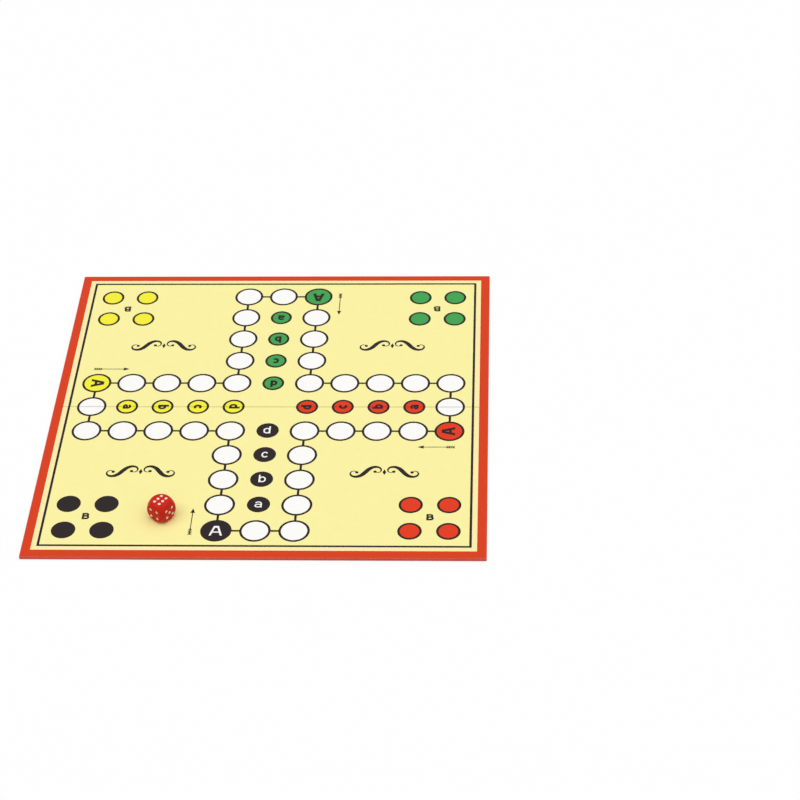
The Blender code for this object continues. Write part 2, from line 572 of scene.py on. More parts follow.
class Paper(Enum):
    """The printed grounds of a sheet, in the order of its material slots."""

    GROUND = PrintFinish("ground_yellow", srgb(251, 242, 164))
    STRIP = PrintFinish("strip_cream", srgb(254, 238, 174))
    # The border's red gets a fainter painted shade along the crease
    BORDER = PrintFinish("border_red", srgb(217, 65, 30), crease_shade_tint=Tint(level=0.3, share=0.12))
    EDGE = PrintFinish(
        "edge_red",
        srgb(206, 91, 72),
        surface=replace(VARNISH, rough=(0.56, 0.68)),
        mottle=2.0 * MM,
        mottle_levels=(0.86, 1.14),
    )

    @property
    def index(self) -> int:
        """Its material slot."""
        return list(Paper).index(self)


# Shapes


@dataclass
class Patch:
    """A flat shape: its corners as x, y rows, and its faces, each counter-clockwise."""

    points: Array
    faces: list[Sequence[int]]

    def moved(self, centre: Sequence[float], turn: float = 0.0) -> Patch:
        """The shape turned about the origin and carried to a place."""
        return Patch(self.points @ spin(turn).T + np.asarray(centre), self.faces)


def spin(turn: float) -> Array:
    """The matrix that turns the plane counter-clockwise by an angle in radians."""
    c, s = math.cos(turn), math.sin(turn)
    return np.array(((c, -s), (s, c)))


def unit(angle: Array) -> Array:
    """Arrows of length one at the given angles, as x, y rows."""
    return np.stack((np.cos(angle), np.sin(angle)), axis=1)


def polygon(points: Sequence[Sequence[float]]) -> Patch:
    """One face through the given corners, in counter-clockwise order."""
    return Patch(np.asarray(points, float), [range(len(points))])


def disc(centre: Sequence[float], radius: float, steps: int = 72) -> Patch:
    """A round face: a regular polygon with many corners."""
    angle = np.arange(steps) * (math.tau / steps)
    return polygon(radius * unit(angle) + np.asarray(centre))


def ribbon(path: Array, width: float | Array) -> Patch:
    """A pen stroke along a path.

    Args:
        path: The points of its middle line.
        width: The stroke's width, or its width at each point.

    Returns:
        Quads between the two edges, which lie half a width to each side of the path.
    """
    along = np.gradient(path, axis=0)
    along /= np.linalg.norm(along, axis=1, keepdims=True)
    count = len(path)
    half = np.broadcast_to(width, count)[:, None] / 2
    side = np.stack((-along[:, 1], along[:, 0]), axis=1) * half
    step = np.arange(count - 1)
    faces = np.stack((step, step + 1, step + 1 + count, step + count), axis=1)
    return Patch(np.concatenate((path - side, path + side)), faces.tolist())


def bar(start: Sequence[float], end: Sequence[float], width: float) -> Patch:
    """A straight line of even width from start to end."""
    return ribbon(np.array((start, end), float), width)


def rounded_loop(
    low: Sequence[float], high: Sequence[float], radius: float, z: float, steps: int = 4
) -> Array:
    """A level rectangle with round corners.

    Each corner is a quarter circle in equal steps about its own centre, so that loops of any size
    have the same count of points. With no radius a corner's points fall together.

    Args:
        low: The rectangle's lowest x and y.
        high: The rectangle's highest x and y.
        radius: The corners' radius.
        z: The loop's height.
        steps: How many steps each corner has.

    Returns:
        The points, counter-clockwise from the right.
    """
    low, high = np.asarray(low, float), np.asarray(high, float)
    signs = np.array(((1, 1), (-1, 1), (-1, -1), (1, -1)))
    angle = np.linspace(0.0, QUARTER, steps + 1) + np.arange(len(signs))[:, None] * QUARTER
    centres = (low + high) / 2 + signs * ((high - low) / 2 - radius)
    x = centres[:, :1] + radius * np.cos(angle)
    y = centres[:, 1:] + radius * np.sin(angle)
    return np.stack((x, y, np.full_like(x, z)), axis=-1).reshape(-1, 3)


def loop_skin(loops: Sequence[Array]) -> tuple[Array, list[Sequence[int]]]:
    """A skin over loops of equal length.

    Args:
        loops: The loops, from the innermost outwards.

    Returns:
        The points, and the faces: the first loop filled, then one ring of quads after another.
    """
    count = len(loops[0])
    step = np.arange(count)
    ahead = (step + 1) % count
    ring = np.stack((step, step + count, ahead + count, ahead), axis=1)
    rings = ring[None] + np.arange(len(loops) - 1)[:, None, None] * count
    return np.concatenate(loops), [step.tolist(), *rings.reshape(-1, 4).tolist()]


def grid_faces(rows: int, columns: int) -> Array:
    """The quads of a grid whose points run along its columns first."""
    corner = (np.arange(rows - 1)[:, None] * columns + np.arange(columns - 1)).reshape(-1, 1)
    return corner + np.array((0, columns, columns + 1, 1))


# Meshes and objects


def mesh_of(name: str, points: Array, faces: Iterable[Sequence[int]]) -> bpy.types.Mesh:
    """Puts points and faces into a new mesh.

    Args:
        name: The mesh's name.
        points: The points, as rows of three.
        faces: Each face's points, counter-clockwise from outside.

    Returns:
        The mesh.
    """
    mesh = bpy.data.meshes.new(name)
    mesh.from_pydata(np.asarray(points).tolist(), [], [list(face) for face in faces])
    return mesh


def rows_of(items: bpy.types.bpy_prop_collection, name: str) -> Array:
    """Reads three numbers, such as a place, from every point or face of a mesh.

    Args:
        items: The mesh's points or faces.
        name: What is read.

    Returns:
        The numbers, as rows of three.
    """
    flat = np.empty(len(items) * 3)
    items.foreach_get(name, flat)
    return flat.reshape(-1, 3)


def put_points(mesh: bpy.types.Mesh, points: Array) -> None:
    """Writes a mesh's points back."""
    mesh.vertices.foreach_set("co", np.asarray(points, np.float32).ravel())
    mesh.update()


@contextmanager
def opened(mesh: bpy.types.Mesh) -> Iterator[bmesh.types.BMesh]:
    """Lends a mesh out for editing, and writes it back afterwards.

    Args:
        mesh: The mesh.

    Yields:
        What is edited.
    """
    shape = bmesh.new()
    shape.from_mesh(mesh)
    yield shape
    shape.to_mesh(mesh)
    shape.free()


def welded(mesh: bpy.types.Mesh) -> None:
    """Merges the points of a mesh that fall together."""
    with opened(mesh) as shape:
        bmesh.ops.remove_doubles(shape, verts=shape.verts, dist=WELD)


def drop_faces(mesh: bpy.types.Mesh, unwanted: Array) -> None:
    """Deletes faces, with what only they used.

    Args:
        mesh: The mesh.
        unwanted: True for each face that goes.
    """
    with opened(mesh) as shape:
        shape.faces.ensure_lookup_table()
        faces = [shape.faces[index] for index in np.flatnonzero(unwanted)]
        bmesh.ops.delete(shape, geom=faces, context="FACES")


def cut_across(mesh: bpy.types.Mesh, rows: Sequence[float], keep: float = 0.0) -> None:
    """Cuts a mesh at planes of even y.

    Args:
        mesh: The mesh.
        rows: Where the planes are.
        keep: The side to keep, as a sign, or nought for both.
    """
    with opened(mesh) as shape:
        for row in rows:
            bmesh.ops.bisect_plane(
                shape,
                geom=shape.verts[:] + shape.edges[:] + shape.faces[:],
                dist=WELD / 10,
                plane_co=(0.0, row, 0.0),
                plane_no=(0.0, 1.0, 0.0),
                clear_outer=keep < 0.0,
                clear_inner=keep > 0.0,
            )


def add_piece(
    name: str, mesh: bpy.types.Mesh, finishes: Sequence[Finish]
) -> bpy.types.Object:
    """Makes an object of a mesh.

    Args:
        name: The piece's name.
        mesh: Its mesh, already in place.
        finishes: One finish for each material index of the mesh.

    Returns:
        The object.
    """
    piece = bpy.data.objects.new(name, mesh)
    for finish in finishes:
        mesh.materials.append(worn(finish))
    bpy.context.scene.collection.objects.link(piece)
    LOG.info("%s: %d points", name, len(mesh.vertices))
    return piece


def thicken(piece: bpy.types.Object, thickness: float) -> None:
    """Gives a skin its thickness, inwards from its face, and keeps the result as the mesh.

    Args:
        piece: The piece, so far only a skin.
        thickness: How thick it gets.
    """
    solid = piece.modifiers.new("thickness", "SOLIDIFY")
    solid.thickness = thickness
    solid.offset = -1.0
    solid.use_even_offset = True
    graph = bpy.context.evaluated_depsgraph_get()
    skin = piece.data
    piece.data = bpy.data.meshes.new_from_object(piece.evaluated_get(graph))
    piece.modifiers.clear()
    bpy.data.meshes.remove(skin)


# The board and its paper


@dataclass(frozen=True)
class Fold:
    """The fold: a groove pressed into the face, and a slit through the cores and the back."""

    slit: float
    axis_z: float
    groove_half: float = 0.8 * MM
    groove_depth: float = 0.12 * MM
    slit_rows: int = 5
    groove_rows: int = 4

    def rows(self) -> list[float]:
        """The values of y where the face is scored, so that it can bend.

        Returns:
            The values, even across the slit and again from there to the groove's edges.
        """
        half = self.slit / 2
        inner = np.linspace(-half, half, self.slit_rows)
        outer = np.linspace(half, self.groove_half, self.groove_rows)[1:]
        return [*(-outer), *inner, *outer]

    def sunk(self, points: Array) -> Array:
        """Lowers points into the groove, whose section is a squared cosine.

        Args:
            points: Points on the flat face.

        Returns:
            The same points, lowered.
        """
        share = np.clip(np.abs(points[:, 1]) / self.groove_half, 0.0, 1.0)
        depth = self.groove_depth * np.cos(share * QUARTER) ** 2
        return points - depth[:, None] * np.array((0.0, 0.0, 1.0))

    def bend(self, piece: bpy.types.Object) -> None:
        """Works out half the slit's width, which goes unused, and bakes a piece's placement into its
        mesh.
        """
        half = self.slit / 2
        -half
        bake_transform(piece)


@dataclass(frozen=True)
class Board:
    """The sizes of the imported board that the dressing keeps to."""

    half: float
    top: float
    flap_z: float
    back_half: float
    back_top: float
    fold: Fold

    @classmethod
    def from_frame(cls, frame: dict[str, Any]) -> Board:
        """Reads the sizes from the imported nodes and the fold's joint.

        Args:
            frame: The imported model.

        Returns:
            The sizes.
        """
        face_low, face_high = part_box("rear_face_sheet")
        back_low, back_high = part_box("rear_back_sheet")
        joint = next(joint for joint in frame["joints"] if joint["name"] == "fold")
        return cls(
            half=face_high[1],
            top=face_high[2],
            flap_z=face_low[2],
            back_half=back_high[1],
            back_top=back_high[2],
            fold=Fold(slit=2.0 * back_low[1], axis_z=joint["pos_m"][2]),
        )


@dataclass(frozen=True)
class Area:
    """A printed rectangle, as its half sizes and a shift away from the player."""

    half: tuple[float, float]
    shift: float

    def corners(self) -> tuple[Array, Array]:
        """Its lowest and its highest corner."""
        half, middle = np.array(self.half), np.array((0.0, self.shift))
        return middle - half, middle + half


INSIDE_BORDER = Area(half=(158.1 * MM, 158.1 * MM), shift=0.6 * MM)
FRAME_LINE = Area(half=(153.45 * MM, 153.6 * MM), shift=0.7 * MM)


def print_loops(z: float) -> list[Array]:
    """The frame line's rectangle and the inner edge of the border, at one height."""
    return [rounded_loop(*area.corners(), 0.0, z) for area in (FRAME_LINE, INSIDE_BORDER)]


def paper_skin(name: str, loops: Sequence[Array], papers: Sequence[Paper]) -> bpy.types.Mesh:
    """A skin over loops, in the colours of its papers.

    Args:
        name: The mesh's name.
        loops: The loops, from the innermost outwards.
        papers: The paper within the first loop, and then that of each ring.

    Returns:
        The mesh.
    """
    mesh = mesh_of(name, *loop_skin(loops))
    middle, *rings = [paper.index for paper in papers]
    indices = np.concatenate(([middle], np.repeat(rings, len(loops[0]))))
    mesh.polygons.foreach_set("material_index", indices)
    welded(mesh)
    return mesh


@dataclass
class FaceSheet:
    """The printed sheet of the four-player side, wrapped round the edges and turned in below."""

    board: Board
    slot: str = "face_paper"
    paper: float = 0.2 * MM
    bend_radius: float = 0.5 * MM
    corner_radius: float = 0.8 * MM
    bend_steps: int = 5
    flap_width: float = 12.0 * MM

    def build(self) -> None:
        """Makes the sheet, open where the slit ends and cut into rows across the crease."""
        fold = self.board.fold
        bends_and_wall = [Paper.EDGE] * (2 * self.bend_steps + 1)
        papers = [Paper.GROUND, Paper.STRIP, Paper.BORDER, *bends_and_wall, Paper.BORDER]
        loops = [*print_loops(self.board.top), *self._wrapped_loops()]
        mesh = paper_skin("face_sheet", loops, papers)
        cut_across(mesh, fold.rows())
        drop_faces(mesh, self._in_slit(rows_of(mesh.polygons, "center")))
        points = rows_of(mesh.vertices, "co")
        on_face = points[:, 2:] > self.board.top - WELD
        put_points(mesh, np.where(on_face, fold.sunk(points), points))
        sheet = add_piece("face_sheet", mesh, [paper.value for paper in Paper])
        thicken(sheet, self.paper)
        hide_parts("rear_face_sheet", "front_face_sheet")
        self.hold(sheet)

    def lay(self, mesh: bpy.types.Mesh) -> None:
        """Lays a flat print on the face, sunk into the groove.

        Args:
            mesh: The print, face up, with heights above its paper.
        """
        fold = self.board.fold
        cut_across(mesh, fold.rows())
        raised = rows_of(mesh.vertices, "co") + np.array((0.0, 0.0, self.board.top))
        put_points(mesh, fold.sunk(raised))

    def hold(self, piece: bpy.types.Object) -> None:
        """Hands a piece to the fold, which only bakes its placement into its mesh."""
        self.board.fold.bend(piece)

    def _loop(self, inset: float, z: float) -> Array:
        """The board's outline drawn in by an inset."""
        reach = np.full(2, self.board.half - inset)
        return rounded_loop(-reach, reach, max(self.corner_radius - inset, 0.0), z)

    def _wrapped_loops(self) -> list[Array]:
        """A quarter bend down, the wall, a quarter bend under, and the inner edge of the flaps.

        Returns:
            The loops, from the face downwards and in.
        """
        angle = np.linspace(0.0, QUARTER, self.bend_steps + 1)
        inset = self.bend_radius * (1.0 - np.sin(angle))
        drop = self.bend_radius * (1.0 - np.cos(angle))
        down = [self._loop(i, self.board.top - d) for i, d in zip(inset, drop)]
        under = [self._loop(i, self.board.flap_z + d) for i, d in zip(inset[::-1], drop[::-1])]
        return [*down, *under, self._loop(self.flap_width, self.board.flap_z)]

    def _in_slit(self, middle: Array) -> Array:
        """Which faces of the walls and flaps, given by their middles, the slit goes through."""
        in_slit = np.abs(middle[:, 1]) < self.board.fold.slit / 2
        return in_slit & (middle[:, 2] < self.board.top - self.bend_radius)


@dataclass
class BackSheet:
    """The printed sheet under one half, which covers the flaps of the face sheet."""

    board: Board
    node: str
    body: str
    slot: str = "back_paper"
    lift: float = 0.08 * MM
    corner_radius: float = 1.5 * MM

    def build(self) -> None:
        """Makes the sheet, printed side down, up to the slit."""
        reach = np.full(2, self.board.back_half)
        loops = [*print_loops(0.0), rounded_loop(-reach, reach, self.corner_radius, 0.0)]
        papers = [Paper.GROUND, Paper.STRIP, Paper.BORDER]
        mesh = paper_skin(self.node, loops, papers)
        self.lay(mesh)
        sheet = add_piece(f"{self.node}_paper", mesh, [paper.value for paper in papers])
        thicken(sheet, self.board.back_top - self.lift)
        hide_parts(self.node)
        self.hold(sheet)

    def lay(self, mesh: bpy.types.Mesh) -> None:
        """Turns a flat print over about X, lays it under the board and keeps what is on this half.

        Args:
            mesh: The print, face up, with heights above its paper.
        """
        turned = rows_of(mesh.vertices, "co") * np.array((1.0, -1.0, -1.0))
        put_points(mesh, turned + np.array((0.0, 0.0, self.lift)))
        side = 1.0 if self.body == FAR else -1.0
        cut_across(mesh, [side * self.board.fold.slit / 2], keep=side)

    def hold(self, piece: bpy.types.Object) -> None:
        """Lets a piece move with this half."""
        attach(piece, self.body)


# The print


class Layer(Enum):
    """How far each pass of ink stands above the paper."""

    LINE = 0.02 * MM
    FILL = 0.04 * MM
    MARK = 0.06 * MM


FILM = 0.03 * MM
STAGGER, STAGGERS = 0.0006 * MM, 7


@dataclass(frozen=True)
class Lettering:
    """Plain block letters drawn with an even pen, on a base line, with tall ones one unit high."""

    pen: float
    lift: float
    small_height: float = 0.78
    small_half: float = 0.33
    steps: int = 24

    def letter(self, letter: str, height: float) -> list[Patch]:
        """The strokes of a letter, set about its field's middle.

        Args:
            letter: Which letter.
            height: The height of tall letters.

        Returns:
            Its strokes. The middle of its base line lies at the place given below, in heights.
        """
        strokes, place = {
            "A": (self._capital_a, (0.0, self.lift - 0.46)),
            "B": (self._capital_b, (0.045, -0.37)),
            "a": (self._small_a, (-0.02, -0.4)),
            "b": (self._small_b, (0.06, -0.42)),
            "c": (self._small_c, (0.035, -0.41)),
            "d": (self._small_d, (-0.065, -0.42)),
        }[letter]
        return [Patch((stroke.points + np.array(place)) * height, stroke.faces) for stroke in strokes()]

    def _arc(self, centre: Sequence[float], half: Sequence[float], start: float, end: float) -> Array:
        """Part of an ellipse, between two angles in degrees."""
        angle = np.radians(np.linspace(start, end, self.steps))
        return unit(angle) * np.asarray(half) + np.asarray(centre)

    def _capital_a(self) -> list[Patch]:
        """Two legs with level ends, a crossbar, and a cap that closes the top.

        Returns:
            The four shapes.
        """
        half, spread, narrow = self.pen * 0.53, 0.48, 0.175
        foot, top = spread - half, narrow - half
        leg = np.array(((foot - half, 0.0), (foot + half, 0.0), (top + half, 1.0), (top - half, 1.0)))
        mirrored = (leg * np.array((-1.0, 1.0)))[::-1]
        reach, waist, thin, cap = 0.25, 0.36, self.pen * 0.85, 0.19
        crossbar = bar((-reach, waist), (reach, waist), thin)
        closed = bar((-top, 1.0 - cap / 2), (top, 1.0 - cap / 2), cap)
        return [polygon(leg), polygon(mirrored), crossbar, closed]

    def _capital_b(self) -> list[Patch]:
        """A stem and two bowls, the lower one a little wider.

        Returns:
            The three strokes.
        """
        left, upper, lower, waist = -0.26, 0.08, 0.1, 0.53
        low, high = self.pen / 2, 1.0 - self.pen / 2
        stem = bar((left, 0.0), (left, 1.0), self.pen)
        return [stem, self._bowl(left, upper, waist, high), self._bowl(left, lower, low, waist)]

    def _bowl(self, left: float, right: float, low: float, high: float) -> Patch:
        """A stroke out from a stem at the left, round a half circle and back."""
        turn = self._arc((right, (high + low) / 2), ((high - low) / 2,) * 2, 90.0, -90.0)
        return ribbon(np.concatenate((((left, high),), turn, ((left, low),))), self.pen)

    def _wide(self) -> float:
        """How far the middle of a small letter's stroke lies from the letter's middle."""
        return self.small_half - self.pen / 2

    def _round(self, start: float = 0.0, end: float = 360.0) -> Patch:
        """The round part of a small letter, or as much of it as the angles span."""
        half = (self._wide(), (self.small_height - self.pen) / 2)
        return ribbon(self._arc((0.0, self.small_height / 2), half, start, end), self.pen)

    def _stem(self, side: float) -> Patch:
        """The tall stem of a small letter, at its left or its right by a sign."""
        return bar((side * self._wide(), 0.0), (side * self._wide(), 1.0), self.pen)

    def _small_a(self) -> list[Patch]:
        """A hook over a stem and a low bowl at its left, in a finer pen that leaves them open.

        Returns:
            The two strokes.
        """
        fine, middle, hook_from = self.pen * 0.88, self.small_height * 0.31, 155.0
        wide, top = self.small_half - fine / 2, self.small_height - fine / 2
        hook = self._arc((0.0, top - wide), (wide, wide), hook_from, 0.0)
        bowl = self._arc((0.0, middle), (wide, middle - fine / 2), 0.0, 360.0)
        stem = np.concatenate((hook, ((wide, 0.0),)))
        return [ribbon(stem, fine), ribbon(bowl, fine)]

    def _small_b(self) -> list[Patch]:
        """A tall stem with a round part at its right."""
        return [self._round(), self._stem(-1.0)]

    def _small_c(self) -> list[Patch]:
        """A round part that is open at the right."""
        mouth = 38.0
        return [self._round(mouth, 360.0 - mouth)]

    def _small_d(self) -> list[Patch]:
        """A tall stem with a round part at its left."""
        return [self._round(), self._stem(1.0)]


INKED = Lettering(pen=0.24, lift=0.03)
KNOCKED_OUT = Lettering(pen=0.138, lift=-0.045)


@dataclass(frozen=True)
class Flourish:
    """A pair of mirrored pen scrolls about a lozenge, a common ornament of old printing."""

    stroke: float = 44.0 * MM
    curl: float = 5.2
    lean: float = math.radians(-55.0)
    gap: float = 2.4 * MM
    thick: float = 3.4 * MM
    thin: float = 0.55 * MM
    dot: float = 1.25 * MM
    lozenge: tuple[float, float] = (1.1, 2.4)
    steps: int = 96
    dot_steps: int = 24

    def patches(self) -> list[Patch]:
        """The two scrolls, thick in the middle with a dot at each end, and the lozenge.

        Returns:
            The shapes. The lozenge's half sizes are counted in dots.
        """
        share = np.linspace(-1.0, 1.0, self.steps)
        path = self._path(share)
        widths = self.thin + (self.thick - self.thin) * np.cos(share * QUARTER) ** 2
        made = []
        for across in (-1.0, 1.0):
            scroll = path * np.array((across, 1.0))
            made.append(ribbon(scroll, widths))
            made += [disc(end, self.dot, self.dot_steps) for end in (scroll[0], scroll[-1])]
        wide, tall = self.dot * np.array(self.lozenge)
        made.append(polygon(((wide, 0.0), (0.0, tall), (-wide, 0.0), (0.0, -tall))))
        return made

    def _path(self, share: Array) -> Array:
        """One scroll: a curve whose bend grows evenly from its middle towards both ends.

        Args:
            share: Places along it, from -1 to 1.

        Returns:
            The points, beside the middle line at the distance of the gap.
        """
        heading = self.lean + self.curl * share**2
        path = np.cumsum(unit(heading) * self.stroke / (self.steps - 1), axis=0)
        path -= path[self.steps // 2]
        path[:, 0] += self.gap - path[:, 0].min()
        return path


@dataclass(frozen=True)
class Arrow:
    """The arrow beside a start field, with a feathered tail."""

    length: float
    line: float = 0.6 * MM
    head: float = 4.6 * MM
    head_width: float = 3.5 * MM
    feathers: int = 4
    feather_step: float = 1.6 * MM
    feather_width: float = 2.5 * MM

    def patches(self) -> list[Patch]:
        """The arrow from the origin up along +Y.

        Returns:
            Its shaft, head and feathers.
        """
        neck, half = self.length - self.head, self.head_width / 2
        head = polygon(((-half, neck), (half, neck), (0.0, self.length)))
        made = [bar((0.0, 0.0), (0.0, neck), self.line), head]
        for foot in np.arange(self.feathers) * self.feather_step:
            for side in (-1.0, 1.0):
                outer = (side * self.feather_width / 2, foot)
                made.append(bar((0.0, foot + self.feather_step), outer, self.line))
        return made


@dataclass(frozen=True)
class Home:
    """A player's home: its ink, its side of the board as signs, and how its letter is turned."""

    ink: Ink
    side: tuple[float, float]
    turn: float


@dataclass
class GamePrint(ABC):
    """The ink of one side, gathered by colour before it is laid on the paper.

    Places are given for the near player, and turned about the middle for the others. Homes and
    flourishes have a reach, the distance across and along from the middle, and a side. The paper
    is a little out of square, which the stretch and the small shifts follow.
    """

    seats: tuple[Ink, ...]
    homes: tuple[Home, ...]
    line: float
    field_radius: float
    goal_radius: float
    home_radius: float
    home_reach: tuple[float, float]
    home_step: float
    start_letter: float
    goal_letter: float
    home_letter: float
    arrow_offsets: tuple[float, ...]
    arrow_from: float
    arrow_to: float
    flourish: Flourish
    flourish_reach: tuple[float, float]
    flourish_sides: tuple[tuple[float, float], ...]
    home_shift: tuple[float, float] = (0.0, 0.0)
    near_goals_shift: tuple[float, float] = (0.0, 0.0)
    stretch: tuple[float, float] = (1.0, 1.0)
    films: dict[Ink, list[tuple[Patch, Layer]]] = field(default_factory=dict)

    @abstractmethod
    def arm(self) -> Array:
        """The near player's part of the track, from the start field on."""

    @abstractmethod
    def goals(self) -> Array:
        """The near player's goal fields, from a to d."""

    def draw(self) -> None:
        """Draws the frame line, the track, each player's fields and home, and the flourishes."""
        self._frame_line()
        turns = [-index * math.tau / len(self.seats) for index in range(len(self.seats))]
        self._track(turns)
        for ink, turn, offset in zip(self.seats, turns, self.arrow_offsets):
            self._seat(ink, turn, offset)
        for home in self.homes:
            self._home(home)
        for side in self.flourish_sides:
            self._stamp(Ink.BLACK, self.flourish.patches(), np.array(self.flourish_reach) * side)

    def print_on(self, sheet: FaceSheet | BackSheet, title: str) -> None:
        """Lays every colour that reaches a sheet on its paper.

        Args:
            sheet: The sheet.
            title: What the films are named after, each with its colour.
        """
        for ink, shapes in self.films.items():
            name = f"{title}_{ink.name.lower()}"
            mesh = self._flat_mesh(name, shapes)
            sheet.lay(mesh)
            if not mesh.polygons:
                bpy.data.meshes.remove(mesh)
                continue
            film = add_piece(name, mesh, [ink.value])
            thicken(film, FILM)
            sheet.hold(film)

    def _flat_mesh(self, name: str, shapes: Sequence[tuple[Patch, Layer]]) -> bpy.types.Mesh:
        """A colour's shapes as a flat mesh, each at its layer's height and a hair above the last.

        Args:
            name: The mesh's name.
            shapes: The shapes and their layers.

        Returns:
            The mesh.
        """
        points, faces, count = [], [], 0
        for index, (patch, layer) in enumerate(shapes):
            level = np.full((len(patch.points), 1), layer.value + index % STAGGERS * STAGGER)
            points.append(np.hstack((patch.points, level)))
            faces += [(np.array(face) + count).tolist() for face in patch.faces]
            count += len(patch.points)
        return mesh_of(name, np.concatenate(points), faces)

    def _ink(self, ink: Ink, layer: Layer, *patches: Patch) -> None:
        """Adds shapes to a colour."""
        self.films.setdefault(ink, []).extend((patch, layer) for patch in patches)

    def _stamp(self, ink: Ink, patches: Sequence[Patch], centre: Array, turn: float = 0.0) -> None:
        """Adds marks to a colour, turned and carried to a place."""
        self._ink(ink, Layer.MARK, *(patch.moved(centre, turn) for patch in patches))

    def _letter(self, letter: str, height: float, centre: Array, turn: float, on: Ink | None) -> None:
        """A letter, left white in black fields, where the ink closes in on it, and else in black."""
        ink, lettering = (Ink.WHITE, KNOCKED_OUT) if on is Ink.BLACK else (Ink.BLACK, INKED)
        self._stamp(ink, lettering.letter(letter, height), centre, turn)

    def _spot(self, centre: Array, radius: float, ink: Ink) -> None:
        """A round field: a dark disc, and within its outline a disc of the field's colour.

        Args:
            centre: Its middle.
            radius: Its outer radius.
            ink: Its colour.
        """
        self._ink(Ink.BLACK, Layer.LINE, disc(centre, radius))
        if ink is not Ink.BLACK:
            self._ink(ink, Layer.FILL, disc(centre, radius - self.line))

    def _around(self, points: Array, turn: float) -> Array:
        """Places of the near player carried to another seat."""
        return points @ spin(turn).T * np.array(self.stretch)

    def _link(self, start: Array, end: Array, trim: float) -> None:
        """A straight dark line, made shorter at each end, or longer where the trim is below nought."""
        cut = (end - start) / np.linalg.norm(end - start) * trim
        self._ink(Ink.BLACK, Layer.LINE, bar(start + cut, end - cut, self.line))

    def _frame_line(self) -> None:
        """The thin dark rectangle inside the border."""
        low, high = FRAME_LINE.corners()
        ends = np.array((low, (high[0], low[1]), high, (low[0], high[1])))
        for start, end in zip(ends, np.roll(ends, -1, axis=0)):
            self._link(start, end, -self.line / 2)

    def _track(self, turns: Sequence[float]) -> None:
        """The closed row of fields, and a short line from each to the next.

        Args:
            turns: The seats' angles from the near side. Each seat's first field has its colour.
        """
        arm = self.arm()
        places = np.concatenate([self._around(arm, turn) for turn in turns])
        starts = dict(zip(range(0, len(places), len(arm)), self.seats))
        for index, (place, ahead) in enumerate(zip(places, np.roll(places, -1, axis=0))):
            self._spot(place, self.field_radius, starts.get(index, Ink.WHITE))
            self._link(place, ahead, self.field_radius - self.line / 2)

    def _seat(self, ink: Ink, turn: float, offset: float) -> None:
        """A player's start letter, goal fields and arrow, turned to that player.

        Args:
            ink: The player's colour.
            turn: The seat's angle from the near side.
            offset: How far the arrow stands to the left of the board's middle.
        """
        self._letter("A", self.start_letter, self._around(self.arm()[0], turn), turn, ink)
        shift = np.array(self.near_goals_shift) * (turn == 0.0)
        for letter, centre in zip("abcd", self._around(self.goals(), turn) + shift):
            self._spot(centre, self.goal_radius, ink)
            self._letter(letter, self.goal_letter, centre, turn, ink)
        tail = self._around(np.array((-offset, -self.arrow_from)), turn)
        self._stamp(Ink.BLACK, Arrow(self.arrow_from - self.arrow_to).patches(), tail, turn)

    def _home(self, home: Home) -> None:
        """Four spots in a square about the home's letter.

        Args:
            home: The home.
        """
        centre = np.array(self.home_reach) * home.side + np.array(self.home_shift)
        for corner in ((-1, -1), (1, -1), (-1, 1), (1, 1)):
            self._spot(centre + np.array(corner) * self.home_step / 2, self.home_radius, home.ink)
        self._letter("B", self.home_letter, centre, home.turn, None)


@dataclass
class FourPlayerPrint(GamePrint):
    """The cross-shaped track for four players, with homes in the corners."""

    seats: tuple[Ink, ...] = (Ink.BLACK, Ink.YELLOW, Ink.GREEN, Ink.RED)
    homes: tuple[Home, ...] = (
        Home(Ink.BLACK, (-1.0, -1.0), 0.0),
        Home(Ink.RED, (1.0, -1.0), 0.0),
        Home(Ink.GREEN, (1.0, 1.0), 2 * QUARTER),
        Home(Ink.YELLOW, (-1.0, 1.0), 2 * QUARTER),
    )
    line: float = 1.78 * MM
    pitch: float = 27.2 * MM
    first_step: float = 28.06 * MM
    field_radius: float = 11.22 * MM
    goal_radius: float = 8.4 * MM
    home_radius: float = 8.75 * MM
    home_reach: tuple[float, float] = (123.8 * MM, 122.75 * MM)
    home_shift: tuple[float, float] = (0.0, -0.5 * MM)
    home_step: float = 27.6 * MM
    start_letter: float = 10.0 * MM
    goal_letter: float = 8.1 * MM
    home_letter: float = 6.6 * MM
    arrow_offsets: tuple[float, ...] = (46.7 * MM, 45.1 * MM, 45.7 * MM, 46.0 * MM)
    arrow_from: float = 141.2 * MM
    arrow_to: float = 113.6 * MM
    flourish: Flourish = Flourish()
    flourish_reach: tuple[float, float] = (89.6 * MM, 74.2 * MM)
    flourish_sides: tuple[tuple[float, float], ...] = tuple(product((-1.0, 1.0), repeat=2))
    near_goals_shift: tuple[float, float] = (0.2 * MM, 0.55 * MM)
    stretch: tuple[float, float] = (0.9952, 1.0031)

    def _grid(self, index: Array) -> Array:
        """The place of a row or column: a wider first step, then even ones."""
        steps = np.abs(index)
        return np.sign(index) * np.where(steps > 0, self.first_step + (steps - 1) * self.pitch, 0.0)

    def arm(self) -> Array:
        """The ten fields of the near player, from the start up and then to the left.

        Returns:
            Their places.
        """
        column = np.array((-1, -1, -1, -1, -1, -2, -3, -4, -5, -5))
        row = np.array((-5, -4, -3, -2, -1, -1, -1, -1, -1, 0))
        return np.stack((self._grid(column), self._grid(row)), axis=1)

    def goals(self) -> Array:
        """The column of goals in the near arm's middle."""
        row = np.array((-4, -3, -2, -1))
        return np.stack((np.zeros(len(row)), self._grid(row)), axis=1)


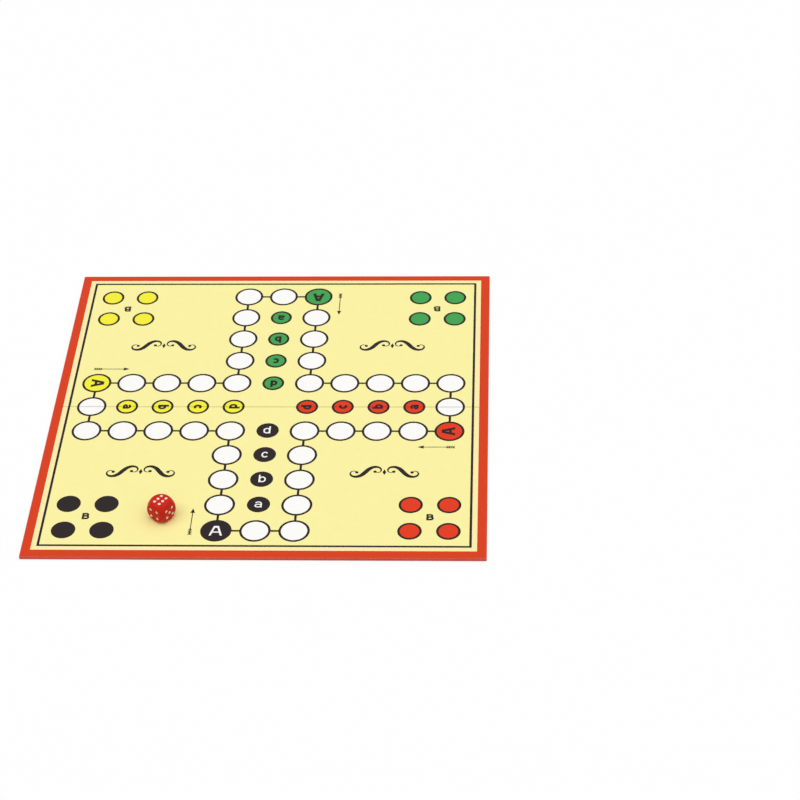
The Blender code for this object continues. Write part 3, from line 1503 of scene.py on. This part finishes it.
@dataclass
class SixPlayerPrint(GamePrint):
    """The star-shaped track for six players, on the underside, with homes at the left and right."""

    seats: tuple[Ink, ...] = (Ink.YELLOW, Ink.BLACK, Ink.BLUE, Ink.RED, Ink.GREEN, Ink.PURPLE)
    homes: tuple[Home, ...] = (
        Home(Ink.YELLOW, (-1.0, -1.0), 0.0),
        Home(Ink.BLACK, (-1.0, 0.0), -QUARTER),
        Home(Ink.BLUE, (-1.0, 1.0), 2 * QUARTER),
        Home(Ink.RED, (1.0, 1.0), 2 * QUARTER),
        Home(Ink.GREEN, (1.0, 0.0), QUARTER),
        Home(Ink.PURPLE, (1.0, -1.0), 0.0),
    )
    line: float = 1.5 * MM
    pitch: float = 20.16 * MM
    field_radius: float = 8.7 * MM
    goal_radius: float = 6.9 * MM
    goal_first: float = 95.7 * MM
    goal_step: float = 14.23 * MM
    home_radius: float = 7.2 * MM
    home_reach: tuple[float, float] = (131.0 * MM, 131.0 * MM)
    home_step: float = 22.5 * MM
    start_letter: float = 8.4 * MM
    goal_letter: float = 6.4 * MM
    home_letter: float = 5.4 * MM
    arrow_offsets: tuple[float, ...] = (34.5 * MM,) * 6
    arrow_from: float = 119.0 * MM
    arrow_to: float = 91.0 * MM
    flourish: Flourish = Flourish(stroke=54.0 * MM, gap=3.0 * MM, thick=4.2 * MM, dot=1.5 * MM)
    flourish_reach: tuple[float, float] = (0.0, 17.4 * MM)
    flourish_sides: tuple[tuple[float, float], ...] = ((0.0, 1.0),)

    def arm(self) -> Array:
        """The eight fields of the near player, from the start to the end of the arm at its left.

        Arms are three fields long and meet at a joint field. Their inner fields lie so far from
        the middle that the pitch is even all round.

        Returns:
            Their places.
        """
        p = self.pitch
        inner = (2.0 + math.sqrt(3.0)) * p
        outer = inner + 2 * p
        joint = inner * np.array((-math.sin(math.pi / 6), -math.cos(math.pi / 6)))
        up = np.array(((-p, -outer), (-p, -inner - p), (-p, -inner), joint))
        back = np.array(((p, -inner), (p, -inner - p), (p, -outer), (0.0, -outer)))
        return np.concatenate((up, back @ spin(-math.pi / 3).T))

    def goals(self) -> Array:
        """The column of goals in the near arm's middle, which runs on towards the board's."""
        along = np.arange(4) * self.goal_step - self.goal_first
        return np.stack((np.zeros(len(along)), along), axis=1)


# The hinge, the cores and the die


@dataclass
class HingeStrip:
    """The cloth under the face sheet that joins the two halves."""

    board: Board
    columns: int = 3
    bend_rows: int = 9

    def build(self) -> None:
        """Makes the strip as a grid of rows across the fold, closer together where it bends."""
        low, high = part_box("hinge_cloth")
        slit = self.board.fold.slit
        bend = np.linspace(-slit / 2, slit / 2, self.bend_rows)
        rows = np.array((low[1], -slit, *bend, slit, high[1]))
        columns = np.linspace(low[0], high[0], self.columns)
        y, x = np.meshgrid(rows, columns, indexing="ij")
        points = np.stack((x, y, np.full_like(x, high[2])), axis=-1).reshape(-1, 3)
        faces = grid_faces(len(rows), self.columns)[:, ::-1]
        mesh = mesh_of("hinge_strip", points, faces)
        strip = add_piece("hinge_strip", mesh, [LinenFinish()])
        thicken(strip, high[2] - low[2])
        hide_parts("hinge_cloth")
        self.board.fold.bend(strip)


def dress_cores(frame: dict[str, Any]) -> None:
    """Gives the greyboard of both halves its finish.

    Args:
        frame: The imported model.
    """
    for node in ("rear_core", "front_core"):
        core = frame["nodes"][node]
        core.data.materials.clear()
        core.data.materials.append(worn(GreyboardFinish()))
        LOG.info("%s: greyboard", node)


@dataclass
class Die:
    """The rounded die: a cube cut by a ball, with dimpled and painted pips."""

    centre: Array
    half: float
    turn: float = math.radians(-35.5)
    ball: float = 10.25 * MM
    fillet: float = 0.5 * MM
    cells: int = 72
    pip_radius: float = 1.2 * MM
    pip_depth: float = 0.5 * MM
    pip_spread: float = 2.95 * MM
    six_column: float = 2.2 * MM
    six_row: float = 3.65 * MM
    paint: float = 0.04 * MM
    paint_share: float = 0.88
    paint_rings: int = 6
    paint_spokes: int = 33

    @classmethod
    def from_frame(cls) -> Die:
        """Reads the die's place and size from its node."""
        low, high = (np.array(corner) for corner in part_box("die"))
        return cls(centre=(low + high) / 2, half=float(high[2] - low[2]) / 2)

    def build(self) -> None:
        """Makes the body and the paint of its pips."""
        body = add_piece("die_body", self._body_mesh(), [DiePlasticFinish()])
        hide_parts("die")
        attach(body, DIE_BODY)
        pips = add_piece("die_pips", self._paint_mesh(), [PipPaintFinish()])
        thicken(pips, self.paint)
        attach(pips, DIE_BODY)

    def _faces(self) -> dict[int, Array]:
        """How the upper face is turned to make each face.

        Returns:
            The turns, by the faces' counts of pips.
        """
        turns = {
            6: Matrix.Identity(3),
            1: Matrix.Rotation(2 * QUARTER, 3, "X"),
            5: Matrix.Rotation(QUARTER, 3, "Y"),
            2: Matrix.Rotation(-QUARTER, 3, "Y"),
            4: Matrix.Rotation(QUARTER, 3, "X"),
            3: Matrix.Rotation(-QUARTER, 3, "X"),
        }
        return {count: np.array(turn) for count, turn in turns.items()}

    def _pips(self, count: int) -> Array:
        """The middles of a face's pips: two columns of three for a six, else corners and a middle.

        Args:
            count: How many there are.

        Returns:
            Their places on the upper face.
        """
        if count == 6:
            columns, rows = (-self.six_column, self.six_column), (-self.six_row, 0.0, self.six_row)
            return np.array(list(product(columns, rows)))
        corners = np.array(((-1, -1), (1, 1), (-1, 1), (1, -1))) * self.pip_spread
        odd = count % 2
        return np.concatenate((corners[: count - odd], np.zeros((odd, 2))))

    def _dip(self, distance: Array) -> Array:
        """The depth of a pip: a cap of a larger ball.

        Args:
            distance: Distances from the pip's middle.

        Returns:
            The depths there.
        """
        ball = (self.pip_radius**2 + self.pip_depth**2) / (2 * self.pip_depth)
        inside = np.clip(distance, 0.0, self.pip_radius)
        return np.sqrt(ball**2 - inside**2) - (ball - self.pip_depth)

    def _upper_face(self) -> Array:
        """The upper sixth of the plain body.

        A grid of directions at even angles, each as long as the nearer of the cube and the ball,
        eased into each other over the fillet by a smooth least value.

        Returns:
            Its points.
        """
        even = np.tan(np.linspace(-1.0, 1.0, self.cells + 1) * math.pi / 4)
        u, v = np.meshgrid(even, even, indexing="ij")
        ray = np.stack((u, v, np.ones_like(u)), axis=-1).reshape(-1, 3)
        length = np.linalg.norm(ray, axis=1)
        cube = self.half * length
        blend = np.clip(self.fillet - np.abs(cube - self.ball), 0.0, None) / self.fillet
        reach = np.minimum(cube, self.ball) - blend**2 * self.fillet / 4
        return ray * (reach / length)[:, None]

    def _body_mesh(self) -> bpy.types.Mesh:
        """Six such faces with their pips pressed in, welded along their edges.

        Returns:
            The mesh.
        """
        plain = self._upper_face()
        skins = []
        for count, turn in self._faces().items():
            upper = plain.copy()
            for pip in self._pips(count):
                upper[:, 2] -= self._dip(np.linalg.norm(plain[:, :2] - pip, axis=1))
            skins.append(upper @ turn.T)
        return self._smooth("die_body", skins, grid_faces(self.cells + 1, self.cells + 1))

    def _paint_mesh(self) -> bpy.types.Mesh:
        """The skin of paint in every pip: rings round its middle, at the depth of the dimple.

        Returns:
            The mesh.
        """
        radius = np.linspace(0.0, self.pip_radius * self.paint_share, self.paint_rings)
        angle = np.linspace(0.0, math.tau, self.paint_spokes)
        r, a = np.meshgrid(radius, angle, indexing="ij")
        depth = self.half - self._dip(r) + self.paint / 2
        cap = np.stack((r * np.cos(a), r * np.sin(a), depth), axis=-1).reshape(-1, 3)
        skins = [
            (cap + np.array((*pip, 0.0))) @ turn.T
            for count, turn in self._faces().items()
            for pip in self._pips(count)
        ]
        return self._smooth("die_pips", skins, grid_faces(self.paint_rings, self.paint_spokes))

    def _smooth(self, name: str, skins: Sequence[Array], quads: Array) -> bpy.types.Mesh:
        """A smooth mesh of like skins, turned about the upright and carried to the die's place.

        Args:
            name: The mesh's name.
            skins: The points of each skin, about the die's middle.
            quads: The faces that they share.

        Returns:
            The mesh.
        """
        turn = np.array(Matrix.Rotation(self.turn, 3, "Z"))
        points = np.concatenate(skins) @ turn.T + self.centre
        starts = np.arange(len(skins))[:, None, None] * len(skins[0])
        mesh = mesh_of(name, points, (quads + starts).reshape(-1, 4))
        welded(mesh)
        mesh.shade_smooth()
        return mesh


# The studio


@dataclass
class Studio:
    """The floor, the soft light and the camera at the photograph's viewing angle."""

    board: Board
    lens: float = 103.27
    sensor: float = 36.0
    camera_place: tuple[float, float, float] = (0.1788, -1.3259, 1.1130)
    heading: float = math.radians(3.466)
    tilt: float = math.radians(50.214)
    roll: float = math.radians(-2.159)
    floor_half: float = 4.0
    overhead: float = 2.17
    horizon: float = 0.015
    sky_from: tuple[float, float, float] = (0.148, -0.129, 0.981)
    key_strength: float = 0.52
    key_spread: float = math.radians(37.5)
    key_from: tuple[float, float, float] = (-0.62, -0.2, 1.0)

    def build(self) -> None:
        """Makes the floor, the lights and the camera."""
        self._floor()
        self._sky()
        self._lamp()
        self._camera()

    def _floor(self) -> None:
        """A large level square at the board's underside."""
        ends = np.array(((-1, -1, 0), (1, -1, 0), (1, 1, 0), (-1, 1, 0))) * self.floor_half
        floor = bpy.data.objects.new("floor", mesh_of("floor", ends, [range(len(ends))]))
        floor.data.materials.append(worn(FloorFinish()))
        bpy.context.scene.collection.objects.link(floor)
        floor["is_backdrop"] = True

    def _sky(self) -> None:
        """A sky that is brightest overhead, by the third power, but looks white."""
        world = bpy.data.worlds.new("studio_sky")
        world.use_nodes = True
        bpy.context.scene.world = world
        nodes = Nodes(world.node_tree)
        up = nodes.toward(nodes.node("ShaderNodeTexCoord", out="Generated"), self.sky_from)
        light = nodes.mix(up * up * up, (self.horizon,) * 3, (self.overhead,) * 3)
        seen = nodes.mix(nodes.seen(), light, WHITE)
        nodes.fill(world.node_tree.nodes["Background"], {"Color": seen, "Strength": 1.0})

    def _lamp(self) -> None:
        """One wide soft lamp from the left."""
        lamp = bpy.data.lights.new("key_lamp", "SUN")
        lamp.energy = self.key_strength
        lamp.angle = self.key_spread
        key = bpy.data.objects.new("key_lamp", lamp)
        key.rotation_euler = (-Vector(self.key_from)).to_track_quat("-Z", "Y").to_euler()
        bpy.context.scene.collection.objects.link(key)

    def _camera(self) -> None:
        """The camera, with no shift: heading about the upright, tilt from straight down, then roll."""
        data = bpy.data.cameras.new("camera")
        data.lens = self.lens
        data.sensor_width = self.sensor
        camera = bpy.data.objects.new("camera", data)
        facing = Matrix.Identity(4)
        for axis, angle in (("Z", self.heading), ("X", self.tilt), ("Z", self.roll)):
            facing = facing @ Matrix.Rotation(angle, 4, axis)
        place = Vector(self.camera_place) + Vector((0.0, 0.0, self.board.top))
        camera.matrix_world = Matrix.Translation(place) @ facing
        bpy.context.scene.collection.objects.link(camera)
        bpy.context.scene.camera = camera


def corners() -> list[list[float]]:
    """The box of all that shows, as two lists of numbers."""
    return [list(map(float, corner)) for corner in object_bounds()]


def main() -> None:
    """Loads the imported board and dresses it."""
    logging.basicConfig(level=logging.INFO, format="%(name)s: %(message)s")
    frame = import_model()
    board = Board.from_frame(frame)
    Studio(board).build()
    face_sheet = FaceSheet(board)
    face_sheet.build()
    face_print = FourPlayerPrint()
    face_print.draw()
    face_print.print_on(face_sheet, "four_player")
    back_print = SixPlayerPrint()
    back_print.draw()
    for node, body in (("front_back_sheet", NEAR), ("rear_back_sheet", FAR)):
        back_sheet = BackSheet(board, node, body)
        back_sheet.build()
        back_print.print_on(back_sheet, f"six_player_{body}")
    HingeStrip(board).build()
    dress_cores(frame)
    Die.from_frame().build()
    bpy.context.scene.view_settings.view_transform = "Standard"


if __name__ == "__main__":
    main()
